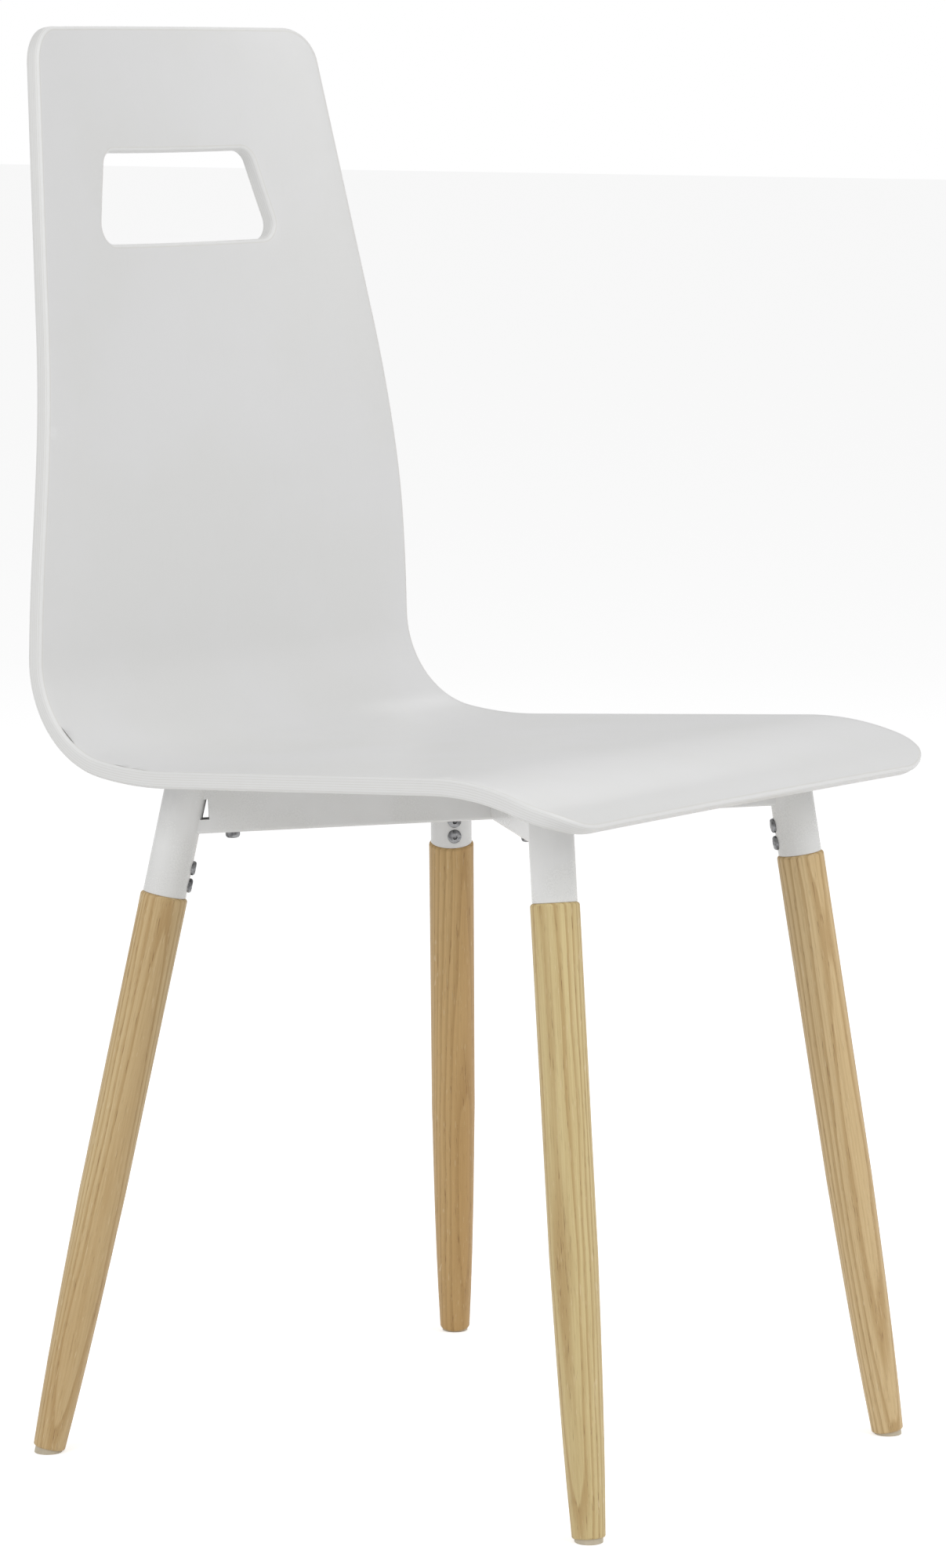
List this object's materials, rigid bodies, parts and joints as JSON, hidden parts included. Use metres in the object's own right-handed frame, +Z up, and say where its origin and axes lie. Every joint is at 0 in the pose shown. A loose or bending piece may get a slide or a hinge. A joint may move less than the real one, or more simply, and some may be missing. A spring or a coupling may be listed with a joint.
{
  "type": "dining chair",
  "caption": "Armless dining chair: one moulded ply shell in white with a hand hole in the back, on a white steel cross with splayed round oak legs.",
  "frame": {"origin": "on the floor, at the middle of the chair's footprint", "axes": "+Z up; the sitter faces -Y, so the back stands on the +Y side and the sitter's right hand is -X"},
  "size_m": [0.426, 0.4847, 0.8788],
  "materials": {
    "white_lacquered_ply": "matte white lacquer on moulded plywood",
    "white_powder_coat": "satin white powder coat",
    "oiled_oak": "pale oiled oak, long straight grain",
    "zinc_steel": "dull zinc-plated steel",
    "spacer_rubber": "matte black rubber",
    "glide_nylon": "natural nylon"
  },
  "bodies": {
    "root": {"floor_glide_front_left": "glide_nylon", "floor_glide_front_right": "glide_nylon", "floor_glide_rear_left": "glide_nylon", "floor_glide_rear_right": "glide_nylon", "frame_bar_long": "white_powder_coat", "frame_bar_short_front": "white_powder_coat", "frame_bar_short_rear": "white_powder_coat", "glide_nails": "zinc_steel", "leg_front_left": "oiled_oak", "leg_front_right": "oiled_oak", "leg_rear_left": "oiled_oak", "leg_rear_right": "oiled_oak", "leg_screws_front_left": "zinc_steel", "leg_screws_front_right": "zinc_steel", "leg_screws_rear_left": "zinc_steel", "leg_screws_rear_right": "zinc_steel", "seat_bolts": "zinc_steel", "seat_shell": "white_lacquered_ply", "seat_spacers": "spacer_rubber", "socket_front_left": "white_powder_coat", "socket_front_right": "white_powder_coat", "socket_rear_left": "white_powder_coat", "socket_rear_right": "white_powder_coat", "threaded_inserts": "zinc_steel"}
  },
  "joints": []
}
